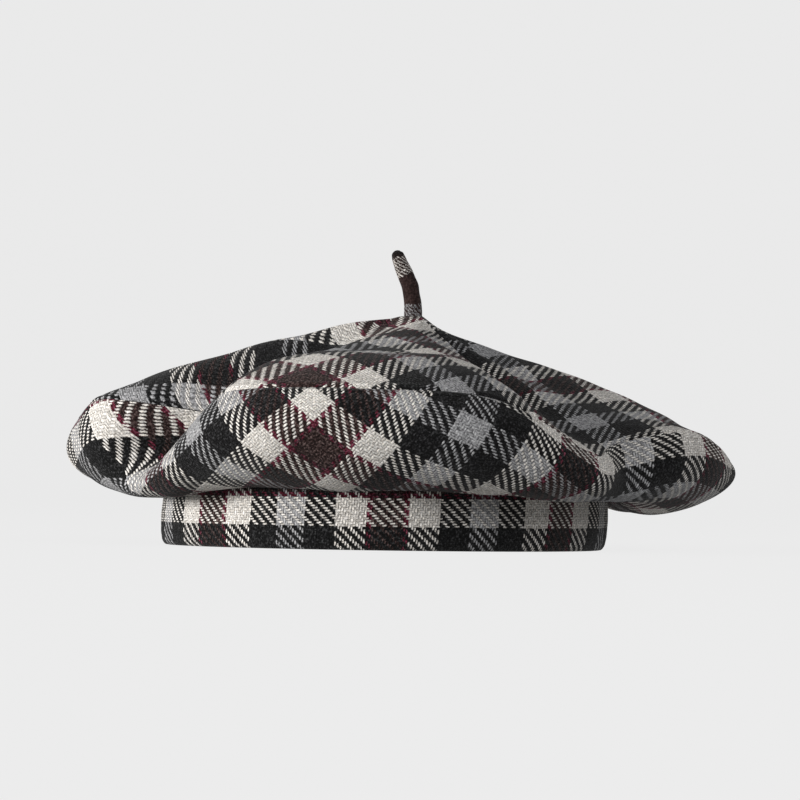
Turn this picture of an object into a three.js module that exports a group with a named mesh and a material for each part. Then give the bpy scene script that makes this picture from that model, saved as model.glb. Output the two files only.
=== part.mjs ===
// Tam o shanter: a plaid wool cap with a domed crown of two panels, a headband and a short bent stalk.
// Millimetres, +Z up, the front of the cap faces -Y, and the headband's hem stands on Z = 0.
// Azimuth is 0 at the front and grows towards +X.
import * as THREE from 'three';

// Where the crown's own centre stands, so that the whole cap is centred on the origin
const PLACE_X = -0.14;
const PLACE_Y = -2.24;

// Headband
const BAND_CENTRE_X = -5.4;
const BAND_LEAN_X = -1.1; // how far the hem stands to the side of the band's top edge
const BAND_HEIGHT = 24.0;
// Each row of the band's closed outline: how far it lies from the band's axis, and its height.
const BAND_OUTLINE = [
  { radius: 87.5, height: 23.7 },
  { radius: 87.2, height: 12.0 },
  { radius: 87.2, height: 1.0 },
  { radius: 87.6, height: 0.0 },
  { radius: 88.8, height: 0.0 },
  { radius: 90.0, height: 1.6 },
  { radius: 90.6, height: 5.0 },
  { radius: 90.8, height: 12.0 },
  { radius: 90.5, height: 23.7 },
];

// Crown
const WALL = 2.0; // cloth thickness
const APEX_X = 4.3;
const APEX_Z = 92.8;
const STALK_HOLE = 4.0; // radius of the hole in the middle of the top disc
const COLLAR_LIFT = 1.3; // cloth drawn up round the stalk
const COLLAR_REACH = 3.8;
const HEM_RADIUS = 91.4; // where the side panel turns in over the headband
const LIP_RADIUS = 88.0; // where the turned-in edge ends
const SEAM_GAP = 0.3; // between the two panels at the rim seam
const TILT = 0.0146; // rise of the crown for each millimetre to the right, above the level hem

// Sections of the crown, a row for each azimuth. The seam columns place the rim seam. The top disc leaves
// the apex outwards by run and down by fall, and reaches the seam from back (inwards) and rise (upwards).
// The side panel leaves the seam outwards by out and down by drop, and reaches the hem from hemOut
// (outwards) and hemDrop (below).
const SECTIONS = [
  { azimuth: -180, seamR: 124, seamZ: 55, run: 42, fall: 6, back: 30, rise: 20,
    out: 16, drop: 16, hemOut: 25, hemDrop: 5 },
  { azimuth: -135, seamR: 124, seamZ: 50, run: 42, fall: 6, back: 30, rise: 20,
    out: 15, drop: 21, hemOut: 26, hemDrop: 9 },
  { azimuth: -92, seamR: 129.5, seamZ: 52.5, run: 38, fall: 10.5, back: 14, rise: 17.5,
    out: 24, drop: 25, hemOut: 7.5, hemDrop: 4 },
  { azimuth: -70, seamR: 126, seamZ: 60, run: 24, fall: -2, back: 13, rise: 8,
    out: 14.5, drop: 25, hemOut: 21.5, hemDrop: 13.5 },
  { azimuth: -52, seamR: 98, seamZ: 55.5, run: 44, fall: 11, back: 23, rise: 16,
    out: 34, drop: 16, hemOut: 30, hemDrop: 14 },
  { azimuth: -33, seamR: 117, seamZ: 62, run: 36, fall: 14, back: 26, rise: 20,
    out: 23, drop: 14, hemOut: 28, hemDrop: 3.5 },
  { azimuth: -5, seamR: 117, seamZ: 62, run: 32, fall: 14, back: 28, rise: 24,
    out: 20, drop: 14, hemOut: 26, hemDrop: 8 },
  { azimuth: 18, seamR: 117.5, seamZ: 58, run: 32, fall: 16, back: 26, rise: 20,
    out: 20, drop: 14, hemOut: 32, hemDrop: 8.5 },
  { azimuth: 39, seamR: 118, seamZ: 38.5, run: 36, fall: 20, back: 26, rise: 16,
    out: 18, drop: 12, hemOut: 31, hemDrop: 12.5 },
  { azimuth: 50, seamR: 110.5, seamZ: 42, run: 40, fall: 18, back: 30, rise: 14,
    out: 20, drop: 12, hemOut: 30, hemDrop: 14 },
  { azimuth: 67, seamR: 125, seamZ: 46.5, run: 30, fall: 22, back: 38, rise: 9,
    out: 12.5, drop: 20, hemOut: 26, hemDrop: 14 },
  { azimuth: 92, seamR: 132, seamZ: 35.5, run: 12, fall: 11.5, back: 32, rise: 33.5,
    out: 20, drop: 12, hemOut: 8, hemDrop: 24 },
  { azimuth: 135, seamR: 123.5, seamZ: 44.5, run: 31, fall: 15, back: 32, rise: 22,
    out: 10.5, drop: 21.5, hemOut: 15, hemDrop: 15 },
];

// Folds and dents, a row for each. Level is -1 at the apex, 0 at the rim seam and 1 at the hem. A fold is
// centred on azimuth and level, turns by drift degrees over one level, fades over its half widths, and
// moves the cloth outwards by push and upwards by lift.
const FOLDS = [
  { fold: 'hollow behind the front bulge', azimuth: -8, drift: 0, level: -0.52,
    halfAzimuth: 26, halfLevel: 0.16, push: 0, lift: -3.5 },
  { fold: 'left valley', azimuth: -50, drift: -14, level: -0.45,
    halfAzimuth: 11, halfLevel: 0.35, push: 0, lift: -5 },
  { fold: 'right valley', azimuth: 42, drift: 0, level: -0.45,
    halfAzimuth: 9, halfLevel: 0.4, push: 0, lift: -5 },
  { fold: 'left dent', azimuth: -59, drift: -12, level: 0.22,
    halfAzimuth: 6.5, halfLevel: 0.24, push: -20, lift: -2 },
  { fold: 'right dent', azimuth: 50, drift: 0, level: 0.25,
    halfAzimuth: 7, halfLevel: 0.25, push: -5, lift: 0 },
  { fold: 'front bulge, left half', azimuth: -22, drift: 0, level: 0.45,
    halfAzimuth: 9, halfLevel: 0.3, push: 2, lift: 0 },
  { fold: 'front bulge, right half', azimuth: 8, drift: 0, level: 0.4,
    halfAzimuth: 9, halfLevel: 0.3, push: -1.5, lift: 0 },
  { fold: 'left lobe crease', azimuth: -80, drift: 0, level: 0.1,
    halfAzimuth: 6, halfLevel: 0.3, push: -1.5, lift: -1 },
  { fold: 'back left ripple', azimuth: -155, drift: 6, level: 0.1,
    halfAzimuth: 10, halfLevel: 0.35, push: -5, lift: -3 },
  { fold: 'back hollow', azimuth: 170, drift: 0, level: -0.3,
    halfAzimuth: 14, halfLevel: 0.3, push: 0, lift: -3 },
  { fold: 'back right ripple', azimuth: 150, drift: 0, level: 0.25,
    halfAzimuth: 9, halfLevel: 0.35, push: -4, lift: -1 },
  { fold: 'right lobe crease', azimuth: 112, drift: 0, level: 0.1,
    halfAzimuth: 8, halfLevel: 0.3, push: -3, lift: -1 },
];
const FOLD_FADE_AT_APEX = 3; // a fold dies out over the last third of the way to the apex
const FOLD_FADE_AT_HEM = 4; // and over the last quarter of the way to the hem

// Stalk, a row for each station of its bent centreline, from the root under the crown to the tip
const STALK = [
  { x: 4.3, z: 88.6, radius: 3.2 },
  { x: 4.3, z: 89.2, radius: 3.6 },
  { x: 4.3, z: 94.0, radius: 3.6 },
  { x: 4.2, z: 98.7, radius: 3.55 },
  { x: 3.7, z: 102.8, radius: 3.5 },
  { x: 2.5, z: 106.9, radius: 3.35 },
  { x: 0.5, z: 111.8, radius: 3.2 },
  { x: -1.2, z: 115.9, radius: 2.8 },
  { x: -2.1, z: 118.6, radius: 2.6 },
  { x: -2.5, z: 120.2, radius: 2.0 },
  { x: -2.6, z: 121.0, radius: 0.9 },
];
const STALK_SIDES = 20;

// Facets
const CROWN_SIDES = 90;
const TOP_RINGS = 12;
const SIDE_RINGS = 11;
const BAND_SIDES = 90;
const STEP = 1e-3; // small change of azimuth in radians, or of level, for a surface normal

const TURN = 2 * Math.PI;
const radians = (degrees) => (degrees * Math.PI) / 180;

// Value of one column of the sections at an azimuth, on a smooth closed curve through the rows.
function section(column, azimuth) {
  const count = SECTIONS.length;
  const at = (k) => SECTIONS[((k % count) + count) % count][column];
  const angle = (k) => SECTIONS[((k % count) + count) % count].azimuth + 360 * Math.floor(k / count);
  const degrees = ((((azimuth * 180) / Math.PI + 180) % 360) + 360) % 360 - 180;
  let k = 0;
  while (k < count - 1 && angle(k + 1) <= degrees) k += 1;
  const span = angle(k + 1) - angle(k);
  const t = (degrees - angle(k)) / span;
  const slopeA = ((at(k + 1) - at(k - 1)) / (angle(k + 1) - angle(k - 1))) * span;
  const slopeB = ((at(k + 2) - at(k)) / (angle(k + 2) - angle(k))) * span;
  const t2 = t * t;
  const t3 = t2 * t;
  return (2 * t3 - 3 * t2 + 1) * at(k) + (t3 - 2 * t2 + t) * slopeA
    + (3 * t2 - 2 * t3) * at(k + 1) + (t3 - t2) * slopeB;
}

// Point of a cubic curve with end points a and d and handles b and c.
function cubic(a, b, c, d, t) {
  const u = 1 - t;
  return u * u * u * a + 3 * u * u * t * b + 3 * u * t * t * c + t * t * t * d;
}

// Outer face of the crown at an azimuth and a level.
function crownPoint(azimuth, level) {
  const dirX = Math.sin(azimuth);
  const dirY = -Math.cos(azimuth);
  const get = (column) => section(column, azimuth);
  const seamX = get('seamR') * dirX;
  const seamY = get('seamR') * dirY;
  const seamZ = get('seamZ');
  const point = new THREE.Vector3();
  if (level <= 0) {
    const t = level + 1;
    const run = get('run');
    const back = get('back');
    const apexX = APEX_X + STALK_HOLE * dirX;
    const apexY = STALK_HOLE * dirY;
    point.x = cubic(apexX, apexX + run * dirX, seamX - back * dirX, seamX, t);
    point.y = cubic(apexY, apexY + run * dirY, seamY - back * dirY, seamY, t);
    point.z = cubic(APEX_Z, APEX_Z - get('fall'), seamZ + get('rise'), seamZ, t);
    const away = Math.hypot(point.x - APEX_X, point.y) - STALK_HOLE;
    point.z += COLLAR_LIFT * Math.exp(-((away / COLLAR_REACH) ** 2));
  } else {
    const out = get('out');
    const hemOut = get('hemOut');
    const hemX = BAND_CENTRE_X + HEM_RADIUS * dirX;
    const hemY = HEM_RADIUS * dirY;
    point.x = cubic(seamX, seamX + out * dirX, hemX + hemOut * dirX, hemX, level);
    point.y = cubic(seamY, seamY + out * dirY, hemY + hemOut * dirY, hemY, level);
    point.z = cubic(seamZ, seamZ - get('drop'), BAND_HEIGHT - get('hemDrop'), BAND_HEIGHT, level);
  }
  const fade = THREE.MathUtils.clamp((1 - level) * FOLD_FADE_AT_HEM, 0, 1)
    * THREE.MathUtils.clamp((level + 1) * FOLD_FADE_AT_APEX, 0, 1);
  for (const fold of FOLDS) {
    const middle = radians(fold.azimuth + fold.drift * (level - fold.level));
    const turn = Math.atan2(Math.sin(azimuth - middle), Math.cos(azimuth - middle));
    const aside = turn / radians(fold.halfAzimuth);
    const along = (level - fold.level) / fold.halfLevel;
    const share = fade * Math.exp(-aside * aside - along * along);
    point.x += share * fold.push * dirX;
    point.y += share * fold.push * dirY;
    point.z += share * fold.lift;
  }
  point.z += TILT * point.x * (1 - Math.max(level, 0) ** 3);
  return point;
}

// Unit normal of the crown's outer face, measured inside the panel that runs from level low to level high.
function crownNormal(azimuth, level, low, high) {
  const before = Math.max(level - STEP, low);
  const after = Math.min(level + STEP, high);
  const down = crownPoint(azimuth, after).sub(crownPoint(azimuth, before));
  const round = crownPoint(azimuth + STEP, level).sub(crownPoint(azimuth - STEP, level));
  return down.cross(round).normalize();
}

// A named piece from vertices and triangles.
function piece(name, vertices, triangles, colour) {
  const geometry = new THREE.BufferGeometry();
  const flat = vertices.flatMap((vertex) => [vertex.x + PLACE_X, vertex.y + PLACE_Y, vertex.z]);
  geometry.setAttribute('position', new THREE.Float32BufferAttribute(flat, 3));
  geometry.setIndex(triangles.flat());
  geometry.computeVertexNormals();
  const mesh = new THREE.Mesh(geometry, new THREE.MeshStandardMaterial({ color: colour, roughness: 0.95 }));
  mesh.name = name;
  return mesh;
}

// Triangles of a surface that closes both ways: loops of equal length, each joined to the next and the
// last to the first.
function closedLoops(loops, size) {
  const triangles = [];
  for (let i = 0; i < loops; i += 1) {
    const here = i * size;
    const next = ((i + 1) % loops) * size;
    for (let j = 0; j < size; j += 1) {
      const k = (j + 1) % size;
      triangles.push([here + j, next + j, next + k], [here + j, next + k, here + k]);
    }
  }
  return triangles;
}

// A panel of cloth of constant thickness: at each azimuth its inner points run down, its outer points up.
function panel(name, outline, colour) {
  const loops = Array.from({ length: CROWN_SIDES }, (_, i) => outline(-Math.PI + (TURN * i) / CROWN_SIDES));
  return piece(name, loops.flat(), closedLoops(CROWN_SIDES, loops[0].length), colour);
}

// Inner face of the cloth behind its outer points, along the given normals.
function behind(outer, normals) {
  return outer.map((point, j) => point.clone().addScaledVector(normals[j], -WALL));
}

// Both panels end at the rim seam in faces that lean alike: their shared normal, and the way across the
// seam from the top disc to the side panel.
function seamFrame(azimuth) {
  const above = crownNormal(azimuth, -STEP, -1, 0);
  const below = crownNormal(azimuth, STEP, STEP / 2, 1);
  const normal = above.add(below).normalize();
  const round = crownPoint(azimuth + STEP, 0).sub(crownPoint(azimuth - STEP, 0));
  return { normal, across: round.cross(normal).normalize() };
}

// The top disc at one azimuth. At the stalk its wall is upright.
function topLoop(azimuth) {
  const seam = seamFrame(azimuth);
  const levels = Array.from({ length: TOP_RINGS + 1 }, (_, j) => -1 + j / TOP_RINGS);
  const outer = levels.map((level) => crownPoint(azimuth, level));
  const normals = levels.map((level) => crownNormal(azimuth, level, -1, 0));
  normals[0] = new THREE.Vector3(0, 0, 1);
  normals[TOP_RINGS] = seam.normal;
  outer[TOP_RINGS].addScaledVector(seam.across, -SEAM_GAP / 2);
  return [...behind(outer, normals), ...outer.reverse()];
}

// The side panel at one azimuth. It turns in over the headband at the hem and ends in a level lip.
function sideLoop(azimuth) {
  const seam = seamFrame(azimuth);
  const levels = Array.from({ length: SIDE_RINGS + 1 }, (_, j) => j / SIDE_RINGS);
  const outer = levels.map((level) => crownPoint(azimuth, level));
  const normals = levels.map((level) => crownNormal(azimuth, level, STEP / 2, 1));
  normals[0] = seam.normal;
  outer[0].addScaledVector(seam.across, SEAM_GAP / 2);
  const lipX = BAND_CENTRE_X + LIP_RADIUS * Math.sin(azimuth);
  const lip = new THREE.Vector3(lipX, -LIP_RADIUS * Math.cos(azimuth), BAND_HEIGHT);
  const lipTop = lip.clone().setZ(BAND_HEIGHT + WALL);
  return [...behind(outer, normals), lipTop, lip, ...outer.reverse()];
}

function headband() {
  const loops = Array.from({ length: BAND_SIDES }, (_, i) => {
    const azimuth = (TURN * i) / BAND_SIDES;
    return BAND_OUTLINE.map(({ radius, height }) => {
      const lean = BAND_LEAN_X * (1 - height / BAND_HEIGHT);
      const x = BAND_CENTRE_X + lean + radius * Math.sin(azimuth);
      return new THREE.Vector3(x, -radius * Math.cos(azimuth), height);
    });
  });
  return piece('headband', loops.flat(), closedLoops(BAND_SIDES, BAND_OUTLINE.length), 0x8a8583);
}

// A bent tapering rod: rings square to the centreline, closed by a fan at the root and at the tip.
function stalk() {
  const centres = STALK.map(({ x, z }) => new THREE.Vector3(x, 0, z));
  const vertices = [];
  centres.forEach((centre, i) => {
    const before = centres[Math.max(i - 1, 0)];
    const after = centres[Math.min(i + 1, centres.length - 1)];
    const ahead = after.clone().sub(before).normalize();
    const side = new THREE.Vector3(ahead.z, 0, -ahead.x);
    for (let j = 0; j < STALK_SIDES; j += 1) {
      const angle = (TURN * j) / STALK_SIDES;
      const offset = side.clone().multiplyScalar(Math.cos(angle)).setY(Math.sin(angle));
      vertices.push(centre.clone().addScaledVector(offset, STALK[i].radius));
    }
  });
  const triangles = [];
  for (let i = 0; i < centres.length - 1; i += 1) {
    for (let j = 0; j < STALK_SIDES; j += 1) {
      const k = (j + 1) % STALK_SIDES;
      const low = i * STALK_SIDES;
      const high = low + STALK_SIDES;
      triangles.push([low + j, low + k, high + k], [low + j, high + k, high + j]);
    }
  }
  const root = vertices.push(centres[0].clone()) - 1;
  const tip = vertices.push(centres[centres.length - 1].clone().setZ(STALK[STALK.length - 1].z + 0.2)) - 1;
  const last = (centres.length - 1) * STALK_SIDES;
  for (let j = 0; j < STALK_SIDES; j += 1) {
    const k = (j + 1) % STALK_SIDES;
    triangles.push([root, k, j], [tip, last + j, last + k]);
  }
  return piece('stalk', vertices, triangles, 0x4a3b39);
}

const cap = new THREE.Group();
cap.name = 'tam_o_shanter';
cap.add(panel('crown_top', topLoop, 0x9a9694));
cap.add(panel('crown_side', sideLoop, 0x6e6765));
cap.add(headband());
cap.add(stalk());

export default cap;
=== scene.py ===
"""Tam o shanter: a plaid wool cap with a domed crown of two panels, a headband and a short bent stalk.

Lengths in the tables are millimetres, measured from the crown's own centre line, and every mesh is in metres
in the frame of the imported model. Azimuth is 0 at the front of the cap (-Y) and grows towards +X. Level runs
down the crown: -1 at the stalk, 0 at the rim seam and 1 at the hem over the headband.
"""
import logging
import math
from dataclasses import dataclass, field
from enum import Enum
from typing import NamedTuple, Union

import bpy
import numpy as np
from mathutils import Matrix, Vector


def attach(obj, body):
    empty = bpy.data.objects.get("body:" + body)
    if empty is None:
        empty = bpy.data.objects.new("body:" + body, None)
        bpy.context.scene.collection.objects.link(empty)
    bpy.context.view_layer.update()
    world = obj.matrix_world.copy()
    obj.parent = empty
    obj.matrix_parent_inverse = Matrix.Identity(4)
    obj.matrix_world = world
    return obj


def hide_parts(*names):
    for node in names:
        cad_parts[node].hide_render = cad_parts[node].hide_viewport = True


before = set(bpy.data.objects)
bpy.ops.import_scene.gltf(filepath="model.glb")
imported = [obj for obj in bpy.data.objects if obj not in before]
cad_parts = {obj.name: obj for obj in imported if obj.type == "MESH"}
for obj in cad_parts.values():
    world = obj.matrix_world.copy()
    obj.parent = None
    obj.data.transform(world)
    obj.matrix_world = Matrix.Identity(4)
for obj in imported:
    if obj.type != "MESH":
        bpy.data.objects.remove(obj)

Array = np.ndarray
Socket = bpy.types.NodeSocket
Value = Union[Socket, float]

LOG = logging.getLogger("tam_o_shanter")

MM = 0.001
PLACE = np.array([-0.14, -2.24, 0.0])  # from the crown's own centre line to the frame's origin


class Part(Enum):
    """The cap's sewn parts, by the name of the solid that each one replaces."""

    TOP = "crown_top"
    SIDE = "crown_side"
    BAND = "headband"
    STALK = "stalk"


class Yarn(Enum):
    """Yarns of the plaid, each with its colour in linear light."""

    RED = (0.105, 0.0135, 0.027)
    BROWN = (0.038, 0.021, 0.019)
    WHITE = (0.88, 0.84, 0.785)
    BLACK = (0.0068, 0.0068, 0.0072)
    GREY = (0.41, 0.41, 0.42)


class Blend(Enum):
    """Ways to combine two colours, by Blender's names for them."""

    MIX = "MIX"
    DARKEN = "DARKEN"
    MULTIPLY = "MULTIPLY"


# Small tools


def unit(vectors: Array) -> Array:
    """Vectors scaled to length one along their last axis."""
    return vectors / np.maximum(np.linalg.norm(vectors, axis=-1, keepdims=True), 1e-12)


def cubic(a: Array, b: Array, c: Array, d: Array, t: Array) -> Array:
    """Points of cubic curves: a and d are the ends, b and c the handles, t runs from 0 to 1.

    Formula: (1-t)^3 a + 3 (1-t)^2 t b + 3 (1-t) t^2 c + t^3 d.

    Args:
        a: Starts.
        b: First handles.
        c: Second handles.
        d: Ends.
        t: Where on the curves.

    Returns:
        The points, broadcast over all the inputs.
    """
    u = 1 - t
    return u**3 * a + 3 * u * u * t * b + 3 * u * t * t * c + t**3 * d


def sloped_cubic(start: Array, end: Array, start_slope: Array, end_slope: Array, t: Array) -> Array:
    """Values of cubic curves given by their ends and by their slopes there, t runs from 0 to 1.

    Formula: (2t^3 - 3t^2 + 1) start + (t^3 - 2t^2 + t) start slope + (3t^2 - 2t^3) end
    + (t^3 - t^2) end slope.

    Args:
        start: Values at t = 0.
        end: Values at t = 1.
        start_slope: Slopes at t = 0, for each unit of t.
        end_slope: Slopes at t = 1, for each unit of t.
        t: Where on the curves.

    Returns:
        The values, broadcast over all the inputs.
    """
    return (
        (2 * t**3 - 3 * t**2 + 1) * start
        + (t**3 - 2 * t**2 + t) * start_slope
        + (3 * t**2 - 2 * t**3) * end
        + (t**3 - t**2) * end_slope
    )


def path_length(points: Array) -> Array:
    """Length along each row of points from its first point.

    Args:
        points: Rows of points, shape (rows, points, 3).

    Returns:
        Running lengths, shape (rows, points).
    """
    steps = np.linalg.norm(np.diff(points, axis=1), axis=-1)
    return np.concatenate([np.zeros((len(points), 1)), np.cumsum(steps, axis=1)], axis=1)


class Waves(NamedTuple):
    """Gentle unevenness of hand-pressed cloth, with its height and wavelengths in millimetres."""

    height: float
    seed: int
    shortest: float
    longest: float
    count: int = 14


def soft_waves(points: Array, waves: Waves) -> Array:
    """Unevenness at places: a sum of sines in random directions.

    Formula: the height times the sum over k of sin(w_k . p + phase_k), divided by the square root of half the
    number of waves.

    Args:
        points: Places in millimetres, last axis 3.
        waves: The unevenness.

    Returns:
        Millimetres for each place, mostly within the height on either side of nought.
    """
    draw = np.random.default_rng(waves.seed)
    wavelength = draw.uniform(waves.shortest, waves.longest, waves.count)
    heading = unit(draw.normal(size=(waves.count, 3))) * (2 * math.pi / wavelength)[:, None]
    phase = draw.uniform(0, 2 * math.pi, waves.count)
    total = np.sin(points @ heading.T + phase).sum(axis=-1)
    return waves.height * (total / math.sqrt(waves.count / 2))


def cloth_object(name: str, vertices: Array, corners: Array, starts: Array, maps: Array) -> bpy.types.Object:
    """A smooth-shaded object from flat arrays.

    Args:
        name: Name of the object.
        vertices: Places in millimetres, shape (vertices, 3), without the frame's shift.
        corners: Vertex of each corner, face after face.
        starts: Where each face's corners start.
        maps: Cloth coordinates of each corner, counted in threads, shape (corners, 2).

    Returns:
        The object, with a UV map called "cloth".
    """
    mesh = bpy.data.meshes.new(name)
    mesh.vertices.add(len(vertices))
    mesh.vertices.foreach_set("co", ((vertices + PLACE) * MM).ravel())
    mesh.loops.add(len(corners))
    mesh.loops.foreach_set("vertex_index", corners.astype(np.int32))
    mesh.polygons.add(len(starts))
    mesh.polygons.foreach_set("loop_start", starts.astype(np.int32))
    layer = mesh.uv_layers.new(name="cloth")
    layer.data.foreach_set("uv", maps.astype(np.float32).ravel())
    mesh.update(calc_edges=True)
    mesh.validate()
    mesh.shade_smooth()
    piece = bpy.data.objects.new(name, mesh)
    bpy.context.scene.collection.objects.link(piece)
    return piece


def grid_object(
    name: str, points: Array, threads: Array, close_across: bool, caps: tuple[Array, ...] = ()
) -> bpy.types.Object:
    """A surface from a grid of points that closes round its first axis.

    Formula: point (i, j) is vertex i m + j, and a face joins it to its neighbours in both directions. A cap
    is a fan of triangles from an end ring to the cap's centre.

    Args:
        name: Name of the object.
        points: Grid of points in millimetres, shape (n, m, 3), without the frame's shift.
        threads: Cloth coordinates counted in threads, shape (n + 1, m, 2) with the first row's far side last.
        close_across: Whether the grid also closes across its second axis.
        caps: Centre points that close the first and last ring of the second axis, for a rod.

    Returns:
        The object.
    """
    n, m = points.shape[:2]
    i, j = np.meshgrid(np.arange(n), np.arange(m if close_across else m - 1), indexing="ij")
    i, j = i.ravel(), j.ravel()
    next_i, next_j = (i + 1) % n, (j + 1) % m
    faces = np.stack([i * m + j, i * m + next_j, next_i * m + next_j, next_i * m + j], axis=1)
    uv = np.stack([threads[i, j], threads[i, next_j], threads[i + 1, next_j], threads[i + 1, j]], axis=1)
    corners, starts, maps = [faces.ravel()], [np.arange(len(faces)) * 4], [uv.reshape(-1, 2)]
    vertices = points.reshape(-1, 3)
    ring = np.arange(n)
    for cap, centre in enumerate(caps):
        last = cap == 1
        edge = m - 1 if last else 0
        here, after = ring * m + edge, (ring + 1) % n * m + edge
        hub = np.full(n, len(vertices))
        vertices = np.concatenate([vertices, centre[None]])
        fan = np.stack([here, hub, after] if last else [after, hub, here], axis=1)
        middle = threads[:-1, edge].mean(axis=0)[None].repeat(n, axis=0)
        around = [threads[:-1, edge], middle, threads[1:, edge]]
        starts.append(sum(len(c) for c in corners) + ring * 3)
        corners.append(fan.ravel())
        maps.append(np.stack(around if last else around[::-1], axis=1).reshape(-1, 2))
    flat = (np.concatenate(arrays) for arrays in (corners, starts, maps))
    return cloth_object(name, vertices, *flat)


def finish_piece(piece: bpy.types.Object, part: Part, material: bpy.types.Material) -> None:
    """Gives a piece its cloth, hangs it on the frame's root and hides the solid that it replaces.

    Args:
        piece: The piece.
        part: The part that it is.
        material: Its cloth.
    """
    piece.data.materials.append(material)
    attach(piece, "root")
    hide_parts(part.value)


# The cloth


class NodeSheet:
    """A material's node tree, with arithmetic on sockets written as method calls."""

    def __init__(self, name: str) -> None:
        """Starts an empty material.

        Args:
            name: Name of the material.
        """
        self.material = bpy.data.materials.new(name)
        self.material.use_nodes = True
        self.tree = self.material.node_tree
        self.tree.nodes.clear()

    def add(self, kind: str, **settings: object) -> bpy.types.Node:
        """A new node.

        Args:
            kind: Blender's name of the node type.
            **settings: Properties to set on it.

        Returns:
            The node.
        """
        node = self.tree.nodes.new(kind)
        for key, value in settings.items():
            setattr(node, key, value)
        return node

    def feed(self, socket: Socket, value: Value) -> None:
        """Links a socket into another, or sets a plain value on it.

        Args:
            socket: The socket that receives.
            value: A socket to link, or a number to set.
        """
        if isinstance(value, Socket):
            self.tree.links.new(value, socket)
        else:
            socket.default_value = value

    def math(self, operation: str, *values: Value) -> Socket:
        """Result of a math node.

        Args:
            operation: Blender's name of the operation.
            *values: Numbers or sockets.

        Returns:
            The result's socket.
        """
        node = self.add("ShaderNodeMath", operation=operation)
        for socket, value in zip(node.inputs, values):
            self.feed(socket, value)
        return node.outputs[0]

    def noise(self, where: Socket, scale: float, detail: float) -> Socket:
        """Smooth noise of about 0 to 1.

        Args:
            where: Socket with the place.
            scale: Cycles for each unit of the place.
            detail: Number of finer layers.

        Returns:
            Socket with the noise.
        """
        node = self.add("ShaderNodeTexNoise")
        self.feed(node.inputs["Vector"], where)
        node.inputs["Scale"].default_value = scale
        node.inputs["Detail"].default_value = detail
        return node.outputs["Fac"]

    def remap(self, value: Value, low: float, high: float, to_low: float, to_high: float) -> Socket:
        """A value carried from one range to another, held at the new range's ends.

        Args:
            value: The value.
            low: Start of its range.
            high: End of its range.
            to_low: Result at the start.
            to_high: Result at the end.

        Returns:
            Socket with the result.
        """
        node = self.add("ShaderNodeMapRange")
        for socket, number in zip(node.inputs, (value, low, high, to_low, to_high)):
            self.feed(socket, number)
        return node.outputs[0]

    def choose(self, share: Value, a: Value, b: Value) -> Socket:
        """A number mixed from two.

        Args:
            share: 0 for all of a, and 1 for all of b.
            a: First number.
            b: Second number.

        Returns:
            Socket with the mixed number.
        """
        node = self.add("ShaderNodeMix", data_type="FLOAT")
        for socket, value in zip((node.inputs[0], node.inputs[2], node.inputs[3]), (share, a, b)):
            self.feed(socket, value)
        return node.outputs[0]

    def blend(self, share: Value, a: Socket, b: Socket, mode: Blend = Blend.MIX) -> Socket:
        """Colour a combined with colour b.

        Args:
            share: How far the result is b, or the combination.
            a: First colour.
            b: Second colour.
            mode: How they combine.

        Returns:
            Socket with the colour.
        """
        node = self.add("ShaderNodeMix", data_type="RGBA", blend_type=mode.value)
        for socket, value in zip((node.inputs["Factor"], node.inputs[6], node.inputs[7]), (share, a, b)):
            self.feed(socket, value)
        return node.outputs[2]


class Band(NamedTuple):
    """A run of threads of one yarn in the sett: its yarn and its number of threads."""

    yarn: Yarn
    threads: int


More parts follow.
